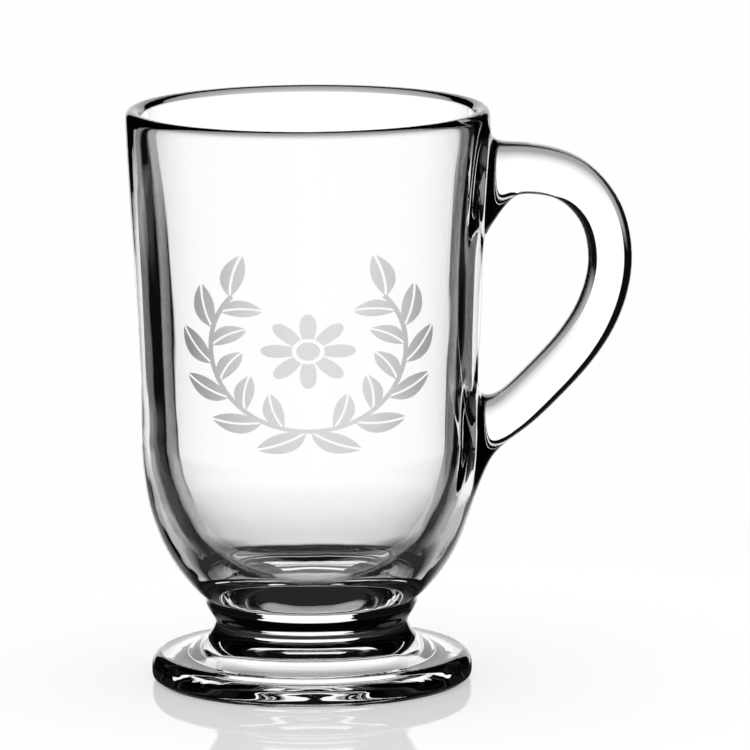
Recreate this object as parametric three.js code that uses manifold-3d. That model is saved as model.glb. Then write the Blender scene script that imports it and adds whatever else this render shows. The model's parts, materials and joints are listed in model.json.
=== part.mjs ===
// A footed glass mug: a thick round bowl on a short neck and a flared foot, with an ear-shaped handle.
// Millimetres, +Z up. The mug stands on Z = 0 and the handle points along +X.

import * as THREE from 'three';
import { mergeVertices } from 'three/addons/utils/BufferGeometryUtils.js';
import Module from 'manifold-3d';

const wasm = await Module();
wasm.setup();

// Bowl, outside: a round bottom, a side that widens a little, and a rim that falls away outwards
const mugHeight = 130;
const rimRadius = 41;
const rimCrestRadius = 38.9;
const rimFall = 2.6;
const sideStart = 0.4;
const sideEnd = 0.15;
const bellyRadius = 38.1;
const bellyHeight = 55;
const bottomFullness = 0.66;
const bottomRadius = 24.25;
const bottomHeight = 19;
const bottomSlope = THREE.MathUtils.degToRad(46);
const bottomLean = 0.125;

// Bowl, inside: the wall thins towards the rim
const rimThickness = 3.8;
const mouthNarrowing = 2.4;
const mouthDepth = 20;
const bellyWall = 5.5;
const cavityBellyHeight = 57.5;
const wallWidening = 0.8;
const wallRise = 42;
const cavityFullness = 0.65;
const cavityFlatness = 0.59;
const cavityFloor = 20;

// Neck: a drawn-in waist with a soft shoulder under the bowl
const waistRadius = 21.8;
const waistHeight = 13.6;
const waistRise = 1;
const shoulderRadius = 24;
const shoulderHeight = 16.3;
const neckShare = 0.5;

// Foot: a flare that runs out into a rounded edge, over a domed hollow
const flareShare = 0.5;
const waistDrop = 2.6;
const flareRadius = 25;
const flareHeight = 6.5;
const footCrestRadius = 33.6;
const footCrestHeight = 6.4;
const footRadius = 36.2;
const footEdgeHeight = 2.8;
const footToeRadius = 2.1;
const hollowRadius = 26.3;
const hollowDepth = 7.5;
const hollowCrown = 0.49;
const hollowShoulder = 0.63;
const hollowRise = 0.91;

// Handle, measured from the mug's axis
const handleReach = 72.8;
const handleThickness = 10.2;
const crownThickness = 11.6;
const handleWidth = 12;
const handleSquareness = 2.5;
const crownReach = 49.5;
const crownHeight = 116;
const apexHeight = 96.5;
const apexRoundness = 0.57;
const apexDrop = 0.36;
const armReach = 47.1;
const armHeight = 62.4;
const armSlope = THREE.MathUtils.degToRad(43);
const armRise = 0.38;
const upperRootHeight = 113;
const upperRootFlare = 8.4;
const upperRootBlend = 9;
const lowerRootHeight = 57.3;
const lowerRootFlare = 9;
const lowerRootBlend = 5;
const rootWidthFlare = 2;
const rootDepth = 3.8;
const rootGap = 0.3;

// How finely round shapes are divided
const turnSteps = 48;
const sideSteps = 12;
const edgeSteps = 8;
const sectionSteps = 20;

const glass = { color: 0xf4f7f6, roughness: 0.03, metalness: 0, transparent: true, opacity: 0.35 };

function clearGlass() {
  return new THREE.MeshStandardMaterial(glass);
}

function point(radius, height) {
  return new THREE.Vector2(radius, height);
}

// Joins curves end to end into one outline, without repeating the points where they meet.
function outlineOf(...stretches) {
  const outline = [];
  for (const stretch of stretches) {
    for (const p of stretch) {
      if (outline.length === 0 || outline.at(-1).distanceTo(p) > 1e-6) outline.push(p);
    }
  }
  return outline;
}

// A stretch of a curve, between two shares of it.
function stretchOf(curve, from, to) {
  const points = [];
  for (let i = 0; i <= edgeSteps; i += 1) {
    points.push(curve.getPoint(THREE.MathUtils.lerp(from, to, i / edgeSteps)));
  }
  return points;
}

// A stretch of an ellipse about a centre, from one angle to another, in degrees.
function roundEdge(centre, across, up, from, to) {
  const turn = THREE.MathUtils.degToRad;
  const curve = new THREE.EllipseCurve(centre.x, centre.y, across, up, turn(from), turn(to), to < from);
  return curve.getPoints(edgeSteps);
}

// Turns an outline about the mug's axis. It runs from the lower side outwards and up, and ends at the axis.
function turned(outline) {
  const geometry = new THREE.LatheGeometry(outline, turnSteps);
  return geometry.rotateX(Math.PI / 2);
}

function solidFrom(geometry) {
  const bare = geometry.clone();
  bare.deleteAttribute('normal');
  bare.deleteAttribute('uv');
  const merged = mergeVertices(bare);
  const corners = merged.index.array;
  const triangles = [];
  for (let i = 0; i < corners.length; i += 3) {
    const [a, b, c] = corners.slice(i, i + 3);
    if (a !== b && b !== c && c !== a) triangles.push(a, b, c);
  }
  const vertProperties = new Float32Array(merged.attributes.position.array);
  const triVerts = new Uint32Array(triangles);
  return new wasm.Manifold(new wasm.Mesh({ numProp: 3, vertProperties, triVerts }));
}

function geometryFrom(solid) {
  const mesh = solid.getMesh();
  const geometry = new THREE.BufferGeometry();
  geometry.setAttribute('position', new THREE.BufferAttribute(mesh.vertProperties, mesh.numProp));
  geometry.setIndex(new THREE.BufferAttribute(mesh.triVerts, 1));
  geometry.computeVertexNormals();
  return geometry;
}

// The foot's flare runs up to the waist, and the neck's shoulder from there to the bowl's bottom.
const waist = point(waistRadius, waistHeight);
const flare = new THREE.CubicBezierCurve(
  point(footCrestRadius, footCrestHeight),
  point(flareRadius, flareHeight),
  point(waistRadius, waistHeight - waistDrop),
  waist,
);
const shoulder = new THREE.CubicBezierCurve(
  waist,
  point(waistRadius, waistHeight + waistRise),
  point(shoulderRadius, shoulderHeight),
  point(bottomRadius, bottomHeight),
);
const neckBaseHeight = flare.getPoint(flareShare).y;
const neckTopHeight = shoulder.getPoint(neckShare).y;

// The bowl's outer wall, from its bottom up to the rim, grown outwards by a margin.
const rimHeight = mugHeight - rimFall;
const sideHeight = rimHeight - bellyHeight;
const roundHeight = bellyHeight - bottomHeight;

function outerWall(margin) {
  const bottom = point(bottomRadius + margin, bottomHeight);
  const belly = point(bellyRadius + margin, bellyHeight);
  const rim = point(rimRadius + margin, rimHeight);
  const lean = point(Math.cos(bottomSlope), Math.sin(bottomSlope)).multiplyScalar(roundHeight * bottomLean);
  const roundBottom = new THREE.CubicBezierCurve(
    bottom,
    bottom.clone().add(lean),
    point(belly.x, bellyHeight - roundHeight * bottomFullness),
    belly,
  );
  const side = new THREE.CubicBezierCurve(
    belly,
    point(belly.x, bellyHeight + sideHeight * sideStart),
    point(rim.x, rimHeight - sideHeight * sideEnd),
    rim,
  );
  return outlineOf(roundBottom.getPoints(sideSteps), side.getPoints(sideSteps));
}

// The cavity, from the rim's inner round down to the middle of its floor.
const rimRound = rimCrestRadius - rimRadius + rimThickness;

function innerWall() {
  const rim = point(rimRadius - rimThickness, mugHeight - rimRound);
  const belly = point(bellyRadius - bellyWall, cavityBellyHeight);
  const side = new THREE.CubicBezierCurve(
    rim,
    point(rim.x - mouthNarrowing, rim.y - mouthDepth),
    point(belly.x + wallWidening, belly.y + wallRise),
    belly,
  );
  const roundFloor = new THREE.CubicBezierCurve(
    belly,
    point(belly.x, THREE.MathUtils.lerp(belly.y, cavityFloor, cavityFullness)),
    point(belly.x * cavityFlatness, cavityFloor),
    point(0, cavityFloor),
  );
  return outlineOf(side.getPoints(sideSteps), roundFloor.getPoints(sideSteps));
}

function makeBowl() {
  const outline = outlineOf(
    [point(0, neckTopHeight)],
    stretchOf(shoulder, neckShare, 1),
    outerWall(0),
    roundEdge(point(rimCrestRadius, rimHeight), rimRadius - rimCrestRadius, rimFall, 0, 90),
    roundEdge(point(rimCrestRadius, mugHeight - rimRound), rimRound, rimRound, 90, 180),
    innerWall(),
  );
  return new THREE.Mesh(turned(outline), clearGlass());
}

// The neck has the upper part of the flare and the lower part of the shoulder, between two flat faces.
function makeNeck() {
  const outline = outlineOf(
    [point(0, neckBaseHeight)],
    stretchOf(flare, flareShare, 1),
    stretchOf(shoulder, 0, neckShare),
    [point(0, neckTopHeight)],
  );
  return new THREE.Mesh(turned(outline), clearGlass());
}

// The foot stands on a flat ring round the hollow. Its edge is well rounded and its top is the flare.
function makeFoot() {
  const hollow = new THREE.CubicBezierCurve(
    point(0, hollowDepth),
    point(hollowRadius * hollowCrown, hollowDepth),
    point(hollowRadius * hollowShoulder, hollowDepth * hollowRise),
    point(hollowRadius, 0),
  );
  const toeCentre = point(footRadius - footToeRadius, footToeRadius);
  const edgeCentre = point(footCrestRadius, footEdgeHeight);
  const outline = outlineOf(
    hollow.getPoints(sideSteps),
    roundEdge(toeCentre, footToeRadius, footToeRadius, -90, 0),
    roundEdge(edgeCentre, footRadius - footCrestRadius, footCrestHeight - footEdgeHeight, 0, 90),
    stretchOf(flare, 0, flareShare),
    [point(0, neckBaseHeight)],
  );
  return new THREE.Mesh(turned(outline), clearGlass());
}

// The handle's centre line, in X and Z: out of the bowl, over the crown, round the apex and down the arm.
const apexReach = handleReach - handleThickness / 2;
const rootRun = 0.65;
const crownRun = 0.3;
const armRun = 0.4;
const turnRun = 0.5;

function handleLine() {
  const upperRoot = point(rimRadius - rootDepth, upperRootHeight);
  const crown = point(crownReach, crownHeight);
  const apex = point(apexReach, apexHeight);
  const arm = point(armReach, armHeight);
  const lowerRoot = point(bellyRadius - rootDepth, lowerRootHeight);
  const slope = point(Math.cos(armSlope), Math.sin(armSlope));
  const armLength = arm.distanceTo(apex);
  const wayOut = crown.x - upperRoot.x;
  const wayIn = arm.x - lowerRoot.x;
  const outOfBowl = new THREE.CubicBezierCurve(
    upperRoot,
    point(upperRoot.x + wayOut * rootRun, upperRootHeight),
    point(crown.x - wayOut * crownRun, crownHeight),
    crown,
  );
  const overTop = new THREE.CubicBezierCurve(
    crown,
    point(THREE.MathUtils.lerp(crown.x, apex.x, apexRoundness), crownHeight),
    point(apex.x, THREE.MathUtils.lerp(apexHeight, crownHeight, apexRoundness)),
    apex,
  );
  const downArm = new THREE.CubicBezierCurve(
    apex,
    point(apex.x, apexHeight - armLength * apexDrop),
    arm.clone().addScaledVector(slope, armLength * armRise),
    arm,
  );
  const intoBowl = new THREE.CubicBezierCurve(
    arm,
    arm.clone().addScaledVector(slope, -wayIn * armRun),
    point(lowerRoot.x + wayIn * turnRun, lowerRootHeight),
    lowerRoot,
  );
  const line = new THREE.CurvePath();
  for (const stretch of [outOfBowl, overTop, downArm, intoBowl]) line.add(stretch);
  return line;
}

// The bowl's outer radius at a height, between the two points of its outline on either side.
function wallRadius(height) {
  const outline = outerWall(0);
  const above = Math.max(1, outline.findIndex((p) => p.y >= height));
  const low = outline[above - 1];
  const high = outline[above];
  return THREE.MathUtils.mapLinear(height, low.y, high.y, low.x, high.x);
}

// How far a root has spread at a distance from the bowl: a round fillet, 1 on the wall and 0 at its end.
function spread(distance, blend) {
  const left = THREE.MathUtils.clamp(1 - distance / blend, 0, 1);
  return 1 - Math.sqrt(1 - left * left);
}

function squarish(value) {
  return Math.sign(value) * Math.abs(value) ** (2 / handleSquareness);
}

// Rings of a squarish oval section are set along the centre line and joined, and the ends are closed.
// The handle is thickest at its crown and slims down towards the apex.
function handleBlank() {
  const positions = [];
  const faces = [];
  const line = handleLine();
  const stations = [];
  for (const stretch of line.curves) {
    for (let i = 0; i < sideSteps; i += 1) stations.push([stretch, i / sideSteps]);
  }
  stations.push([line.curves.at(-1), 1]);

  const ringCount = stations.length;
  stations.forEach(([stretch, t], ring) => {
    const centre = stretch.getPoint(t);
    const along = stretch.getTangent(t);
    const upperHalf = centre.y > apexHeight;
    const share = spread(centre.x - wallRadius(centre.y), upperHalf ? upperRootBlend : lowerRootBlend);
    const flared = (upperHalf ? upperRootFlare : lowerRootFlare) * share;
    const slimmed = upperHalf ? THREE.MathUtils.smoothstep(centre.x, crownReach, apexReach) : 1;
    const halfThick = THREE.MathUtils.lerp(crownThickness, handleThickness, slimmed) / 2 + flared;
    const halfWide = handleWidth / 2 + rootWidthFlare * share;
    for (let k = 0; k < sectionSteps; k += 1) {
      const angle = (2 * Math.PI * k) / sectionSteps;
      const across = squarish(Math.cos(angle)) * halfThick;
      const aside = squarish(Math.sin(angle)) * halfWide;
      positions.push(centre.x - along.y * across, aside, centre.y + along.x * across);
    }
    if (ring === 0) return;
    const before = (ring - 1) * sectionSteps;
    const here = ring * sectionSteps;
    for (let k = 0; k < sectionSteps; k += 1) {
      const next = (k + 1) % sectionSteps;
      faces.push(before + k, here + next, before + next, before + k, here + k, here + next);
    }
  });

  const last = (ringCount - 1) * sectionSteps;
  for (let k = 1; k < sectionSteps - 1; k += 1) {
    faces.push(0, k, k + 1);
    faces.push(last, last + k + 1, last + k);
  }
  const geometry = new THREE.BufferGeometry();
  geometry.setAttribute('position', new THREE.Float32BufferAttribute(positions, 3));
  geometry.setIndex(faces);
  return geometry;
}

// The handle's ends are shaped to the bowl's wall, with a hairline of clearance.
function makeHandle() {
  const bowlSpace = outlineOf(
    [point(0, bottomHeight)],
    outerWall(rootGap),
    [point(rimRadius + rootGap, mugHeight), point(0, mugHeight)],
  );
  const cut = solidFrom(handleBlank()).subtract(solidFrom(turned(bowlSpace)));
  return new THREE.Mesh(geometryFrom(cut), clearGlass());
}

const mug = new THREE.Group();
const pieces = { bowl: makeBowl(), neck: makeNeck(), foot: makeFoot(), handle: makeHandle() };
for (const [name, piece] of Object.entries(pieces)) {
  piece.name = name;
  mug.add(piece);
}

// The origin is under the middle of the mug's whole length, from the bowl's rim to the handle's apex.
mug.position.x = (rimRadius - handleReach) / 2;

export default mug;
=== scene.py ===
import json
import math

import bmesh
import bpy
from mathutils import Matrix, Vector
from mathutils.geometry import interpolate_bezier

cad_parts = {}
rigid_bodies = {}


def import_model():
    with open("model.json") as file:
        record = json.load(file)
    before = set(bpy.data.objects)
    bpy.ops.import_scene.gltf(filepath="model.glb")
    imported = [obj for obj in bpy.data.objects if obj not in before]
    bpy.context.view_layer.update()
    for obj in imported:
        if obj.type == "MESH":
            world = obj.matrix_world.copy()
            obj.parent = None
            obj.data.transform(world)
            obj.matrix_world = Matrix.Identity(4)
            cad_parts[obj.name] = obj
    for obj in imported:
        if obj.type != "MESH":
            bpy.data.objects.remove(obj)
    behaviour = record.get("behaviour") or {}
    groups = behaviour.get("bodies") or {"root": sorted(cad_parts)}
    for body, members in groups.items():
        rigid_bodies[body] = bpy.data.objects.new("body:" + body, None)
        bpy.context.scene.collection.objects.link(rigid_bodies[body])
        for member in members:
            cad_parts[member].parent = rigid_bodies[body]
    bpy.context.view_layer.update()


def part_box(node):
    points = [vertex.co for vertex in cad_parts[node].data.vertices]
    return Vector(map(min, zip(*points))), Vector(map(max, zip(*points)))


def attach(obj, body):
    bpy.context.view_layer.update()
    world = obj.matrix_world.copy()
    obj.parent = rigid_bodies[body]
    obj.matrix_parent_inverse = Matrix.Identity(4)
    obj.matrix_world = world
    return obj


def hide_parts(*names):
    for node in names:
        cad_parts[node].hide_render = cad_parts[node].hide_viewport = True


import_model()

scene = bpy.context.scene
mm = 0.001
near = 0.001    # heights that differ by less, in millimetres, are the same

# The mug's axis and main sizes, in millimetres, come from the frame
footLow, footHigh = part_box("foot")
bowlLow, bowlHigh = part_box("bowl")
axisX = (footLow.x + footHigh.x) / 2 / mm
footRadius = (footHigh.y - footLow.y) / 2 / mm
footTop = footHigh.z / mm
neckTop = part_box("neck")[1].z / mm
rimRadius = (bowlHigh.y - bowlLow.y) / 2 / mm
mugTop = bowlHigh.z / mm
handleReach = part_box("handle")[1].x / mm - axisX
print("frame: axis at", round(axisX, 2), "mm, rim", round(rimRadius, 2), "mm, height", round(mugTop, 2), "mm")


def linearColour(hexColour):
    parts = [int(hexColour[i:i + 2], 16) / 255 for i in (1, 3, 5)]
    return [p / 12.92 if p <= 0.04045 else ((p + 0.055) / 1.055) ** 2.4 for p in parts] + [1.0]


def addNode(tree, kind, settings, sockets):
    node = tree.nodes.new(kind)
    for name, value in settings.items():
        setattr(node, name, value)
    for name, value in sockets.items():
        if isinstance(value, bpy.types.NodeSocket):
            tree.links.new(value, node.inputs[name])
        else:
            node.inputs[name].default_value = value
    return node


def newMaterial(name):
    material = bpy.data.materials.new(name)
    material.use_nodes = True
    material.node_tree.nodes.clear()
    return material, material.node_tree


def addObject(name, bm, materials):
    mesh = bpy.data.meshes.new(name)
    bm.to_mesh(mesh)
    bm.free()
    for material in materials:
        mesh.materials.append(material)
    obj = bpy.data.objects.new(name, mesh)
    scene.collection.objects.link(obj)
    return obj


def arc(centre, across, up, start, end, steps):
    angles = [math.radians(start + (end - start) * i / steps) for i in range(steps + 1)]
    return [Vector((centre[0] + across * math.cos(a), centre[1] + up * math.sin(a))) for a in angles]


def bend(start, startPull, endPull, end, steps):
    knots = [Vector((p[0], p[1], 0)) for p in (start, startPull, endPull, end)]
    return [p.to_2d() for p in interpolate_bezier(*knots, steps + 1)]


def radiusAt(wall, height):
    for low, high in zip(wall, wall[1:]):
        if low.y <= height <= high.y:
            return low.x + (high.x - low.x) * (height - low.y) / (high.y - low.y)
    return wall[-1].x


# The points of a cage are pushed out until its smooth surface passes through the points given
def cageThrough(points):
    pushed = [p.copy() for p in points]
    for _ in range(12):     # enough rounds to settle
        smooth = [(a + 4 * b + c) / 6 for a, b, c in zip(pushed, pushed[1:], pushed[2:])]
        for i, p in enumerate(smooth, 1):
            pushed[i] += points[i] - p
    return pushed


# A closed ring of quads is made larger by this, because it shrinks when it is smoothed
def ringGain(columns):
    return 3 / (2 + math.cos(math.tau / columns))


# Outlines are radius and height in millimetres. Together they run from the middle of the underside, over the rim, to
# the middle of the cavity. Values that end in Rows or Steps are how finely a stretch is divided.
bowl = {
    "bottomRadius": 24.25, "bottomHeight": 19.0, "bottomSlope": 46, "bottomLean": 0.125, "bottomFullness": 0.66,
    "bellyRadius": 38.1, "bellyHeight": 55.0, "sideStart": 0.4, "sideEnd": 0.15, "wallSteps": 60,
    "crestRadius": 39.5, "rimFall": 1.8, "rimThickness": 3.8,           # the rim is rounder on its inner side
    "outerRimRows": 4, "innerRimRows": 3,
    "mouthNarrowing": 2.4, "mouthDepth": 20.0, "wallWidening": 0.8, "wallRise": 42.0,   # the wall thins upwards
    "bellyWall": 5.5, "cavityBelly": 57.5, "innerRows": 11,
    "cavityFullness": 0.65, "cavityFlatness": 0.59, "cavityFloor": 20.0, "cavityRows": 18,
    "bottomHeights": (20.4, 22.4, 25.0, 28.2, 32.2, 37.0),              # rows of the round bottom
    "wallHeights": (80.6, 90.1),                                        # rows between the roots of the handle
}
rimHeight = mugTop - bowl["rimFall"]
innerRound = bowl["crestRadius"] - rimRadius + bowl["rimThickness"]
slope = math.radians(bowl["bottomSlope"])
roundHeight = bowl["bellyHeight"] - bowl["bottomHeight"]
sideHeight = rimHeight - bowl["bellyHeight"]
belly = Vector((bowl["bellyRadius"], bowl["bellyHeight"]))
bottom = Vector((bowl["bottomRadius"], bowl["bottomHeight"]))
outerWall = bend(
    bottom, bottom + Vector((math.cos(slope), math.sin(slope))) * roundHeight * bowl["bottomLean"],
    (belly.x, belly.y - roundHeight * bowl["bottomFullness"]), belly, bowl["wallSteps"],
) + bend(
    belly, (belly.x, belly.y + sideHeight * bowl["sideStart"]), (rimRadius, rimHeight - sideHeight * bowl["sideEnd"]),
    (rimRadius, rimHeight), bowl["wallSteps"],
)[1:]
rimRows = arc(
    (bowl["crestRadius"], rimHeight), rimRadius - bowl["crestRadius"], bowl["rimFall"], 0, 90, bowl["outerRimRows"],
)
innerRim = Vector((rimRadius - bowl["rimThickness"], mugTop - innerRound))
rimRows += arc((bowl["crestRadius"], innerRim.y), innerRound, innerRound, 90, 180, bowl["innerRimRows"])[1:]
innerBelly = Vector((belly.x - bowl["bellyWall"], bowl["cavityBelly"]))
cavityHeight = innerBelly.y - bowl["cavityFloor"]
innerWall = bend(
    innerRim, (innerRim.x - bowl["mouthNarrowing"], innerRim.y - bowl["mouthDepth"]),
    (innerBelly.x + bowl["wallWidening"], innerBelly.y + bowl["wallRise"]), innerBelly, bowl["innerRows"],
)[1:]
innerWall += bend(
    innerBelly, (innerBelly.x, innerBelly.y - cavityHeight * bowl["cavityFullness"]),
    (innerBelly.x * bowl["cavityFlatness"], bowl["cavityFloor"]), (0, bowl["cavityFloor"]), bowl["cavityRows"],
)[1:-1]

foot = {
    "hollowRadius": 26.3, "hollowDepth": 7.5, "hollowCrown": 0.49, "hollowShoulder": (0.63, 0.91), "hollowRows": 12,
    "standingRing": (0.9, 3.6),                     # rows of the flat ring, out from the hollow
    "toeRound": 2.1, "toeTurn": (-90, -15, 3),      # the rounding under the edge: start and end in degrees, rows
    "edgeHeight": 2.8, "edgeTurn": (5, 90, 5),      # the round edge up to its crest
    "crestRadius": 33.6, "crestHeight": 6.4,
    "flare": (25.0, 6.5), "waistDrop": 2.6, "flareRows": 10,    # the flare up to the waist
}
neck = {"waistRadius": 21.8, "waistHeight": 13.6, "waistRise": 1.0, "shoulder": (24.0, 16.3), "shoulderRows": 6}
hollow, depth, toe = foot["hollowRadius"], foot["hollowDepth"], foot["toeRound"]
crest = Vector((foot["crestRadius"], foot["crestHeight"]))
waist = Vector((neck["waistRadius"], neck["waistHeight"]))
stem = bend(crest, foot["flare"], (waist.x, waist.y - foot["waistDrop"]), waist, foot["flareRows"])[1:]
stem += bend(waist, (waist.x, waist.y + neck["waistRise"]), neck["shoulder"], bottom, neck["shoulderRows"])[1:-1]
footRows = bend(
    (0, depth), (hollow * foot["hollowCrown"], depth),
    (hollow * foot["hollowShoulder"][0], depth * foot["hollowShoulder"][1]), (hollow, 0), foot["hollowRows"],
)[1:]
footRows += [Vector((hollow + out, 0.0)) for out in foot["standingRing"]]
footRows += arc((footRadius - toe, toe), toe, toe, *foot["toeTurn"])
footRows += arc(
    (crest.x, foot["edgeHeight"]), footRadius - crest.x, crest.y - foot["edgeHeight"], *foot["edgeTurn"],
)
footRows += [p for p in stem if p.y < footTop - near]
neckRows = [p for p in stem if footTop - near <= p.y < neckTop - near]

handle = {
    "upperRoot": (100.0, 108.4, 116.9, 125.4), "lowerRoot": (42.5, 52.0, 61.5, 71.0),   # rows where the roots spread
    "thickness": 10.2, "crownThickness": 11.6, "taper": 1.5, "width": 12.0, "squareness": 2.5,
    "crown": (49.5, 116.0), "apexHeight": 96.5, "apexRoundness": 0.57, "apexDrop": 0.36, "crownSteps": 4,
    "arm": (47.1, 62.4), "armSlope": 43, "armRise": 0.38, "armSteps": 6, "turnIn": (43.2, 59.5),
    # stations near the wall: distance from it, height, half thickness, half width, lean of the path in degrees
    "leaving": ((0.6, 113.3, 11.0, 6.6, -2), (2.0, 114.2, 8.6, 6.2, 3), (4.7, 115.6, 6.2, 6.0, 6)),
    "arriving": ((4.6, 59.4, 5.4, 6.0, 200), (1.9, 57.8, 7.0, 6.1, 190), (0.6, 56.6, 10.0, 6.5, 182)),
}
heights = sorted(bowl["bottomHeights"] + bowl["wallHeights"] + handle["upperRoot"] + handle["lowerRoot"])
bowlRows = [p for p in stem if p.y >= neckTop - near] + [bottom]
bowlRows += [Vector((radiusAt(outerWall, h), h)) for h in heights]
outline = footRows + neckRows + bowlRows + rimRows + innerWall
pieceOfRow = ["foot"] * len(footRows) + ["neck"] * len(neckRows) + ["outside"] * len(bowlRows)
pieceOfRow += ["inside"] * (len(rimRows) + len(innerWall))
regions = ["foot", "neck", "outside", "inside", "handle"]

# The outline is spun into a cage of quads, and the middles of underside and cavity are closed
cageSize = {
    "turns": 48,            # columns round the mug
    "rootColumns": 3,       # columns that a root of the handle takes up
    "levels": 2,            # subdivisions
    "easing": 0.9996,       # how far the smooth body is drawn in towards its axis
}
turns = cageSize["turns"]
cage = bmesh.new()
rowLayer = cage.verts.layers.int.new("row")
acrossLayer = cage.verts.layers.float.new("across")
asideLayer = cage.verts.layers.float.new("aside")
for row, p in enumerate(cageThrough(outline)):
    cage.verts.new((p.x * ringGain(turns), 0, p.y))[rowLayer] = row
cage.verts.ensure_lookup_table()
for pair in list(zip(cage.verts, cage.verts[1:])):
    cage.edges.new(pair)
bmesh.ops.spin(
    cage, geom=cage.verts[:] + cage.edges[:], cent=(0, 0, 0), axis=(0, 0, 1),
    angle=math.tau, steps=turns, use_merge=True,
)
bmesh.ops.rotate(cage, verts=cage.verts, cent=(0, 0, 0), matrix=Matrix.Rotation(math.pi / turns, 3, "Z"))
for face in cage.faces:
    face.material_index = regions.index(pieceOfRow[min(v[rowLayer] for v in face.verts)])
closed = bmesh.ops.holes_fill(cage, edges=[e for e in cage.edges if e.is_boundary], sides=0)["faces"]
for face in closed:
    face.material_index = regions.index("foot" if face.calc_center_median().z < footTop else "inside")
print("cage:", len(outline), "rows and", len(cage.faces), "faces")


# A root starts as a hole in the wall. Each vertex of its edge remembers its place across and along the handle.
def openRoot(rootHeights, outerSide):
    reach = math.pi * cageSize["rootColumns"] / turns
    rows = [i for i, p in enumerate(outline) if p in bowlRows and min(abs(p.y - h) for h in rootHeights) < near]
    inside = {
        v for v in cage.verts
        if rows[0] <= v[rowLayer] <= rows[-1] and abs(math.atan2(v.co.y, v.co.x)) < reach * 1.01    # a little slack
    }
    taken = [f for f in cage.faces if all(v in inside for v in f.verts)]
    bmesh.ops.delete(cage, geom=taken, context="FACES")
    edge = {v for v in inside if v.is_valid}
    for v in edge:
        v[acrossLayer] = outerSide * (2 * (v[rowLayer] - rows[0]) / (len(rows) - 1) - 1)
        v[asideLayer] = math.atan2(v.co.y, v.co.x) / reach
    return [e for e in cage.edges if e.is_boundary and all(v in edge for v in e.verts)]


upperLoop = openRoot(handle["upperRoot"], 1)
lowerLoop = openRoot(handle["lowerRoot"], -1)

# Stations along the handle: centre, lean of the path, half thickness, half width
apex = Vector((handleReach - handle["thickness"] / 2, handle["apexHeight"]))
crown = Vector(handle["crown"])
arm = Vector(handle["arm"])
armTurn = math.radians(handle["armSlope"])
armLength = (apex - arm).length
armPull = Vector((math.cos(armTurn), math.sin(armTurn))) * armLength * handle["armRise"]
path = bend(
    crown, (crown.x + (apex.x - crown.x) * handle["apexRoundness"], crown.y),
    (apex.x, apex.y + (crown.y - apex.y) * handle["apexRoundness"]), apex, handle["crownSteps"],
)
path += bend(apex, (apex.x, apex.y - armLength * handle["apexDrop"]), arm + armPull, arm, handle["armSteps"])[1:]
leaving, arriving = [
    [[Vector((radiusAt(outerWall, height) + gap, height)), lean, halfThick, halfWide]
     for gap, height, halfThick, halfWide, lean in handle[root]]
    for root in ("leaving", "arriving")
]
stations = list(leaving)
for i, p in enumerate(path):
    before = path[i - 1] if i else leaving[-1][0]
    after = path[i + 1] if i + 1 < len(path) else Vector(handle["turnIn"])
    lean = math.degrees(math.atan2(after.y - before.y, after.x - before.x))
    share = max(0, 1 - i / handle["crownSteps"]) ** handle["taper"]
    thick = handle["thickness"] + (handle["crownThickness"] - handle["thickness"]) * share
    stations.append([p, lean, thick / 2, handle["width"] / 2])
stations += arriving
for station, centre in zip(stations, cageThrough([s[0] for s in stations])):
    station[0] = centre

gain = ringGain(len(upperLoop))
power = 2 / handle["squareness"]
loop = upperLoop
for centre, lean, halfThick, halfWide in stations:
    grown = bmesh.ops.extrude_edge_only(cage, edges=loop)["geom"]
    ring = [g for g in grown if isinstance(g, bmesh.types.BMVert)]
    loop = [g for g in grown if isinstance(g, bmesh.types.BMEdge) and all(v in ring for v in g.verts)]
    for face in [g for g in grown if isinstance(g, bmesh.types.BMFace)]:
        face.material_index = regions.index("handle")
    turn = math.radians(lean)
    outwards = Vector((-math.sin(turn), 0, math.cos(turn)))
    for v in ring:
        angle = math.atan2(v[asideLayer], v[acrossLayer])
        c, s = math.cos(angle), math.sin(angle)
        across = math.copysign(abs(c) ** power, c) * halfThick * gain
        aside = math.copysign(abs(s) ** power, s) * halfWide * gain
        v.co = Vector((centre.x, aside, centre.y)) + outwards * across
for face in bmesh.ops.bridge_loops(cage, edges=loop + lowerLoop)["faces"]:
    face.material_index = regions.index("handle")
bmesh.ops.recalc_face_normals(cage, faces=cage.faces)
for face in cage.faces:
    face.smooth = True
bmesh.ops.scale(cage, vec=(mm, mm, mm), verts=cage.verts)
bmesh.ops.translate(cage, vec=(axisX * mm, 0, 0), verts=cage.verts)
print("handle:", len(stations), "stations,", len([e for e in cage.edges if not e.is_manifold]), "open edges")

blank = addObject("glassBlank", cage, [])
for name in regions:
    blank.data.materials.append(bpy.data.materials.new(name))
smoothing = blank.modifiers.new("smooth", "SUBSURF")
smoothing.levels = smoothing.render_levels = cageSize["levels"]
smoothMesh = bpy.data.meshes.new_from_object(blank.evaluated_get(bpy.context.evaluated_depsgraph_get()))
bpy.data.objects.remove(blank)

# The smooth body stays inside the box of the CAD, and its standing ring is flat
for v in smoothMesh.vertices:
    v.co.x = axisX * mm + (v.co.x - axisX * mm) * cageSize["easing"]
    v.co.y *= cageSize["easing"]
    v.co.z = min(max(v.co.z, footLow.z), bowlHigh.z)
smoothMesh.update()
smoothNormals = [v.normal.copy() for v in smoothMesh.vertices]
print("smooth body:", len(smoothMesh.polygons), "faces")

# Clear pressed soda-lime glass: colourless, fire-polished, with a slight unevenness that bends the light. Sizes in mm.
glassFinish = {
    "ior": 1.52,
    "waveSize": 14.0, "waveHeight": 0.02,                               # swells left by the mould
    "streakSize": 5.0, "streakHeight": 0.03, "streakSqueeze": 0.12,     # streaks drawn out along the height
}


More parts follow.
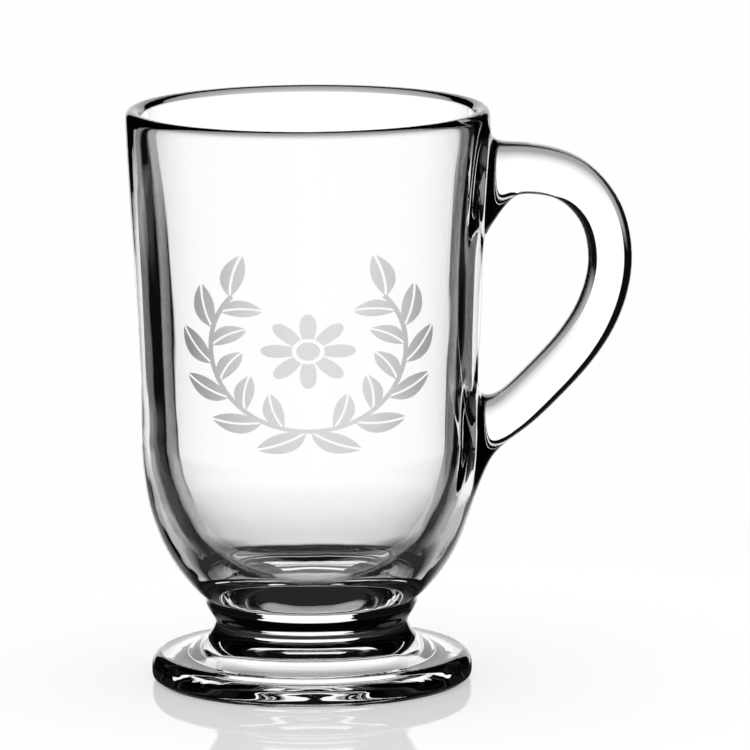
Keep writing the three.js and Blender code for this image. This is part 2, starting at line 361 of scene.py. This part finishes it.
def pressedGlass(name, frost):
    material, tree = newMaterial(name)
    coords = addNode(tree, "ShaderNodeTexCoord", {}, {}).outputs["Object"]
    waves = addNode(tree, "ShaderNodeTexNoise", {}, {
        "Vector": coords, "Scale": 1 / (glassFinish["waveSize"] * mm), "Detail": 1.0,
    })
    drawn = addNode(tree, "ShaderNodeVectorMath", {"operation": "MULTIPLY"}, {
        0: coords, 1: (1.0, 1.0, glassFinish["streakSqueeze"]),
    })
    streaks = addNode(tree, "ShaderNodeTexNoise", {}, {
        "Vector": drawn.outputs[0], "Scale": 1 / (glassFinish["streakSize"] * mm), "Detail": 1.0,
    })
    swell = addNode(tree, "ShaderNodeBump", {}, {
        "Height": waves.outputs["Fac"], "Strength": 1.0, "Distance": glassFinish["waveHeight"] * mm,
    })
    bump = addNode(tree, "ShaderNodeBump", {}, {
        "Height": streaks.outputs["Fac"], "Strength": 1.0, "Distance": glassFinish["streakHeight"] * mm,
        "Normal": swell.outputs["Normal"],
    })
    shader = addNode(tree, "ShaderNodeBsdfPrincipled", {}, {
        "Base Color": linearColour("#FFFFFF"), "Roughness": frost(tree, coords), "IOR": glassFinish["ior"],
        "Transmission Weight": 1.0, "Normal": bump.outputs["Normal"],
    })
    addNode(tree, "ShaderNodeOutputMaterial", {}, {"Surface": shader.outputs["BSDF"]})
    return material


# A wreath of two leafy sprigs round a flower, frosted into the front of the bowl: dull grey leaves on clear glass
motif = {
    "height": 81.0, "wrap": 39.0, "squeeze": 0.78,              # its middle, and how it is wrapped round the bowl
    "wreath": 18.0, "pitch": 8.1, "leaves": 6, "stem": 0.5, "stemEnd": 5.1,     # the sprigs
    "leafLength": 9.4, "leafHalf": 2.1, "leafLean": 42, "leafStart": -3.7, "rib": 0.2,
    "petals": 8, "flower": 8.4, "pointed": 0.55, "eye": 2.1, "eyeRing": 0.7,
    "edge": 0.1, "frost": 0.68, "grain": 0.1, "grainSize": 0.4,
}


def frostedMotif(tree, coords):
    place = addNode(tree, "ShaderNodeSeparateXYZ", {}, {0: coords}).outputs
    grain = addNode(tree, "ShaderNodeTexNoise", {}, {
        "Vector": coords, "Scale": 1 / (motif["grainSize"] * mm), "Detail": 2.0,
    })
    values = {"placeX": place["X"], "placeY": place["Y"], "placeZ": place["Z"], "grain": grain.outputs["Fac"]}
    lean = math.radians(motif["leafLean"])

    # Each step names its result, an operation, and inputs that are numbers or the names of earlier results
    steps = (
        ("x", "MULTIPLY_ADD", "placeX", 1 / mm, -axisX),
        ("y", "MULTIPLY", "placeY", -1 / mm),
        ("bearing", "ARCTAN2", "x", "y"),
        ("wrapped", "MULTIPLY", "bearing", motif["wrap"] * motif["squeeze"]),
        ("across", "ABSOLUTE", "wrapped"),
        ("up", "MULTIPLY_ADD", "placeZ", 1 / mm, -motif["height"]),
        ("down", "MULTIPLY", "up", -1.0),
        ("upSquare", "MULTIPLY", "up", "up"),
        ("awaySquare", "MULTIPLY_ADD", "across", "across", "upSquare"),
        ("away", "SQRT", "awaySquare"),
        ("turn", "ARCTAN2", "across", "down"),      # from the foot of the wreath upwards

        # leaves in pairs along the stem, those on its inner side half a step further on
        ("along", "MULTIPLY", "turn", motif["wreath"]),
        ("offStem", "SUBTRACT", "away", motif["wreath"]),
        ("side", "ABSOLUTE", "offStem"),
        ("inner", "LESS_THAN", "offStem", 0.0),
        ("step", "MULTIPLY_ADD", "inner", motif["pitch"] / 2, "along"),
        ("cell", "MODULO", "step", motif["pitch"]),
        ("here", "SUBTRACT", "cell", motif["pitch"] / 2 + motif["leafStart"]),
        ("hereAlong", "MULTIPLY", "here", math.cos(lean)),
        ("hereAside", "MULTIPLY", "here", -math.sin(lean)),
        ("leafAlong", "MULTIPLY_ADD", "side", math.sin(lean), "hereAlong"),
        ("leafAcross", "MULTIPLY_ADD", "side", math.cos(lean), "hereAside"),
        ("leafAside", "ABSOLUTE", "leafAcross"),
        ("share", "DIVIDE", "leafAlong", motif["leafLength"]),
        ("shareLeft", "SUBTRACT", 1.0, "share"),
        ("bulge", "MULTIPLY", "share", "shareLeft"),
        ("halfWidth", "MULTIPLY", "bulge", 4 * motif["leafHalf"]),
        ("leafEdge", "SUBTRACT", "halfWidth", "leafAside"),
        ("ribEdge", "SUBTRACT", "leafAside", motif["rib"]),
        ("stemEdge", "SUBTRACT", motif["stem"], "side"),

        # the sprigs start with an outer leaf and end with one
        ("lastStep", "LESS_THAN", "step", motif["pitch"] * motif["leaves"]),
        ("innerStart", "MULTIPLY", "inner", motif["pitch"]),
        ("firstStep", "GREATER_THAN", "step", "innerStart"),
        ("stemPart", "LESS_THAN", "along", motif["pitch"] * motif["stemEnd"]),
        ("ribbedLeaf", "MULTIPLY", "leafEdge", "ribEdge"),
        ("endedLeaf", "MULTIPLY", "ribbedLeaf", "lastStep"),
        ("leaf", "MULTIPLY", "endedLeaf", "firstStep"),
        ("stem", "MULTIPLY", "stemEdge", "stemPart"),

        # a flower with a round eye
        ("petalTurn", "MULTIPLY", "turn", motif["petals"] / 2),
        ("petalWave", "COSINE", "petalTurn"),
        ("petalRound", "ABSOLUTE", "petalWave"),
        ("petalShape", "POWER", "petalRound", motif["pointed"]),
        ("petalReach", "MULTIPLY", "petalShape", motif["flower"]),
        ("petalEdge", "SUBTRACT", "petalReach", "away"),
        ("ringEdge", "SUBTRACT", "away", motif["eye"] + motif["eyeRing"]),
        ("eyeEdge", "SUBTRACT", motif["eye"], "away"),
        ("petal", "MULTIPLY", "petalEdge", "ringEdge"),

        ("sprig", "MAXIMUM", "leaf", "stem"),
        ("blossom", "MAXIMUM", "petal", "eyeEdge"),
        ("mask", "MAXIMUM", "sprig", "blossom"),
        ("dull", "MULTIPLY_ADD", "grain", motif["grain"], motif["frost"] - motif["grain"] / 2),
        ("frosting", "MULTIPLY", "mask", "dull"),
    )
    for name, operation, *inputs in steps:
        sockets = {i: values.get(value, value) for i, value in enumerate(inputs)}
        values[name] = addNode(tree, "ShaderNodeMath", {"operation": operation}, sockets).outputs[0]
        if name.endswith("Edge"):       # the distance inside an edge becomes a slightly soft step
            values[name] = addNode(tree, "ShaderNodeMapRange", {"interpolation_type": "SMOOTHSTEP"}, {
                "Value": values[name], "From Min": -motif["edge"], "From Max": motif["edge"],
            }).outputs[0]
    return values["frosting"]


def polished(tree, coords):
    return 0.0


clearGlass = pressedGlass("pressedSodaLimeGlass", polished)
etchedGlass = pressedGlass("etchedSodaLimeGlass", frostedMotif)

# Where two bodies of glass were fused while hot there is no surface left to see
fusedJoint, tree = newMaterial("fusedGlassJoint")
nothing = addNode(tree, "ShaderNodeBsdfTransparent", {}, {})
addNode(tree, "ShaderNodeOutputMaterial", {}, {"Surface": nothing.outputs["BSDF"]})
print("glass:", clearGlass.name, etchedGlass.name, fusedJoint.name)

# Each body of glass is cut from the smooth body, and its joints are closed
cuts = {"foot": ("foot",), "neck": ("neck",), "bowl": ("outside", "inside"), "handle": ("handle",)}
for name, parts in cuts.items():
    bm = bmesh.new()
    bm.from_mesh(smoothMesh)
    source = bm.verts.layers.int.new("source")
    for v in bm.verts:
        v[source] = v.index
    keep = {regions.index(p) for p in parts}
    bmesh.ops.delete(bm, geom=[f for f in bm.faces if f.material_index not in keep], context="FACES")
    for face in bm.faces:
        face.material_index = 2 if face.material_index == regions.index("outside") else 0
    lids = bmesh.ops.holes_fill(bm, edges=[e for e in bm.edges if e.is_boundary], sides=0)["faces"]
    for face in bmesh.ops.poke(bm, faces=lids)["faces"]:
        face.material_index = 1
        face.smooth = True
    normals = [smoothNormals[v[source]] for v in bm.verts]
    piece = addObject(name + "Glass", bm, [clearGlass, fusedJoint] + [etchedGlass] * (name == "bowl"))
    piece.data.normals_split_custom_set_from_vertices(normals)
    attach(piece, "root")
    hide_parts(name)
    print("piece", piece.name, len(piece.data.polygons), "faces")

# Camera at the photograph's angle
shot = {"elevation": 9.5, "distance": 1900.0, "lens": 405.0, "target": (14.7, 0.0, 69.2), "roll": -0.39}
tilt = math.radians(shot["elevation"])
target = Vector((shot["target"][0] + axisX, shot["target"][1], shot["target"][2])) * mm
camera = bpy.data.objects.new("camera", bpy.data.cameras.new("camera"))
scene.collection.objects.link(camera)
scene.camera = camera
camera.data.lens = shot["lens"]
camera.data.clip_end = 100      # metres, past the cards and the floor
camera.location = target + Vector((0, -math.cos(tilt), math.sin(tilt))) * shot["distance"] * mm
look = Matrix.Rotation(math.pi / 2 - tilt, 4, "X") @ Matrix.Rotation(math.radians(shot["roll"]), 4, "Z")
camera.matrix_world = Matrix.Translation(camera.location) @ look
print("camera:", shot["distance"], "mm away,", shot["elevation"], "degrees up")

# Cards that only the glass sees, which turn with the camera as on a turntable shoot: a lit panel behind the mug, the
# paler table below it, and a ring of shade round the foot. Each edge has the place where the light is half gone and how
# far it fades to either side, in degrees as the mug sees it or, for the shade, in millimetres from the axis.
whitePanel = {
    "left": (-18.5, 0.5), "right": (22.0, 0.5), "low": (-15.0, 10.0), "high": (42.0, 3.0),
    "strength": 1.18, "half": 3000.0, "distance": 3000.0,
}
paleTable = {
    "left": (-29.0, 3.0), "right": (34.0, 6.0), "low": (-44.0, 8.0), "high": (-5.0, 3.0),
    "strength": 0.42, "half": 3000.0, "distance": 3050.0,
}
footShade = {"low": (33.0, 4.0), "high": (60.0, 10.0), "strength": 0.03, "half": 80.0, "drop": 1.0}


def litCard(name, edges, measure):
    material, tree = newMaterial(name)
    coords = addNode(tree, "ShaderNodeTexCoord", {}, {}).outputs["Object"]
    across, up = measure(tree, coords, edges)
    cover = 1.0
    for side, value, inwards in (("left", across, 1), ("right", across, -1), ("low", up, 1), ("high", up, -1)):
        if side in edges:
            middle, fade = edges[side]
            lit = addNode(tree, "ShaderNodeMapRange", {}, {
                "Value": value, "From Min": middle - fade * inwards, "From Max": middle + fade * inwards,
            })
            both = addNode(tree, "ShaderNodeMath", {"operation": "MULTIPLY"}, {0: lit.outputs[0], 1: cover})
            cover = both.outputs[0]
    clear = addNode(tree, "ShaderNodeBsdfTransparent", {}, {})
    glow = addNode(tree, "ShaderNodeEmission", {}, {"Color": linearColour("#FFFFFF"), "Strength": edges["strength"]})
    surface = addNode(tree, "ShaderNodeMixShader", {}, {0: cover, 1: clear.outputs[0], 2: glow.outputs[0]})
    addNode(tree, "ShaderNodeOutputMaterial", {}, {"Surface": surface.outputs[0]})
    bm = bmesh.new()
    bmesh.ops.create_grid(bm, x_segments=1, y_segments=1, size=edges["half"] * mm)
    card = addObject(name, bm, [material])
    card.parent = camera
    card.visible_camera = card.visible_diffuse = card.visible_shadow = False
    return card


def seenDegrees(tree, coords, edges):
    place = addNode(tree, "ShaderNodeSeparateXYZ", {}, {0: coords}).outputs
    seen = []
    for aside in (place["X"], place["Y"]):
        angle = addNode(tree, "ShaderNodeMath", {"operation": "ARCTAN2"}, {0: aside, 1: edges["distance"] * mm})
        seen.append(addNode(tree, "ShaderNodeMath", {"operation": "DEGREES"}, {0: angle.outputs[0]}).outputs[0])
    return seen


def fromAxis(tree, coords, edges):
    away = addNode(tree, "ShaderNodeVectorMath", {"operation": "LENGTH"}, {0: coords}).outputs["Value"]
    away = addNode(tree, "ShaderNodeMath", {"operation": "DIVIDE"}, {0: away, 1: mm}).outputs[0]
    return away, away


for name, edges in (("whitePanel", whitePanel), ("paleTable", paleTable)):
    card = litCard(name, edges, seenDegrees)
    card.location = (-shot["target"][0] * mm, 0, -(shot["distance"] + edges["distance"]) * mm)
shade = litCard("footShade", footShade, fromAxis)
shade.matrix_parent_inverse = camera.matrix_world.inverted()
shade.location = (axisX * mm, 0, -footShade["drop"] * mm)
print("cards: panel, table and shade")

# Plain white floor, polished only round the mug, where it mirrors the foot. It keeps the mug's own shade.
whiteFloor = {
    "half": 20000.0, "drop": 0.05, "glow": 0.5,
    "mirror": 0.22, "mirrorRoughness": 0.03, "mirrorNear": 100.0, "mirrorFar": 200.0,
}
bm = bmesh.new()
bmesh.ops.create_grid(bm, x_segments=1, y_segments=1, size=whiteFloor["half"] * mm)
floorPaint, tree = newMaterial("whiteFloor")
coords = addNode(tree, "ShaderNodeTexCoord", {}, {})
away = addNode(tree, "ShaderNodeVectorMath", {"operation": "LENGTH"}, {0: coords.outputs["Object"]})
polish = addNode(tree, "ShaderNodeMapRange", {"interpolation_type": "SMOOTHSTEP"}, {
    "Value": away.outputs["Value"], "From Min": whiteFloor["mirrorNear"] * mm,
    "From Max": whiteFloor["mirrorFar"] * mm, "To Min": whiteFloor["mirror"], "To Max": 0.0,
})
paint = addNode(tree, "ShaderNodeBsdfDiffuse", {}, {"Color": linearColour("#FFFFFF")})
white = addNode(tree, "ShaderNodeEmission", {}, {"Color": linearColour("#FFFFFF"), "Strength": 1.0})
matt = addNode(tree, "ShaderNodeMixShader", {}, {0: whiteFloor["glow"], 1: paint.outputs[0], 2: white.outputs[0]})
mirror = addNode(tree, "ShaderNodeBsdfGlossy", {}, {
    "Color": linearColour("#FFFFFF"), "Roughness": whiteFloor["mirrorRoughness"],
})
surface = addNode(tree, "ShaderNodeMixShader", {}, {0: polish.outputs[0], 1: matt.outputs[0], 2: mirror.outputs[0]})
addNode(tree, "ShaderNodeOutputMaterial", {}, {"Surface": surface.outputs[0]})
floor = addObject("floor", bm, [floorPaint])
floor.location.z = -whiteFloor["drop"] * mm
floor.visible_transmission = floor.visible_glossy = False

# The room is white to the eye. The glass sees a dark room over a grey table.
roomLight = {"dark": 0.004, "table": 0.02, "horizon": -0.37, "near": -0.56}
world = bpy.data.worlds.new("studio")
scene.world = world
world.use_nodes = True
tree = world.node_tree
tree.nodes.clear()
rays = addNode(tree, "ShaderNodeLightPath", {}, {})
coords = addNode(tree, "ShaderNodeTexCoord", {}, {})
place = addNode(tree, "ShaderNodeSeparateXYZ", {}, {0: coords.outputs["Generated"]})
table = addNode(tree, "ShaderNodeMapRange", {"interpolation_type": "SMOOTHSTEP"}, {
    "Value": place.outputs["Z"], "From Min": roomLight["near"], "From Max": roomLight["horizon"],
    "To Min": roomLight["table"], "To Max": roomLight["dark"],
})
plain = addNode(tree, "ShaderNodeMath", {"operation": "MAXIMUM"}, {
    0: rays.outputs["Is Camera Ray"], 1: rays.outputs["Is Diffuse Ray"],
})
level = addNode(tree, "ShaderNodeMath", {"operation": "MAXIMUM"}, {0: plain.outputs[0], 1: table.outputs[0]})
room = addNode(tree, "ShaderNodeBackground", {}, {"Color": linearColour("#FFFFFF"), "Strength": level.outputs[0]})
addNode(tree, "ShaderNodeOutputWorld", {}, {"Surface": room.outputs[0]})
scene.view_settings.view_transform = "Standard"
print("stage: floor and room")

bpy.context.view_layer.update()
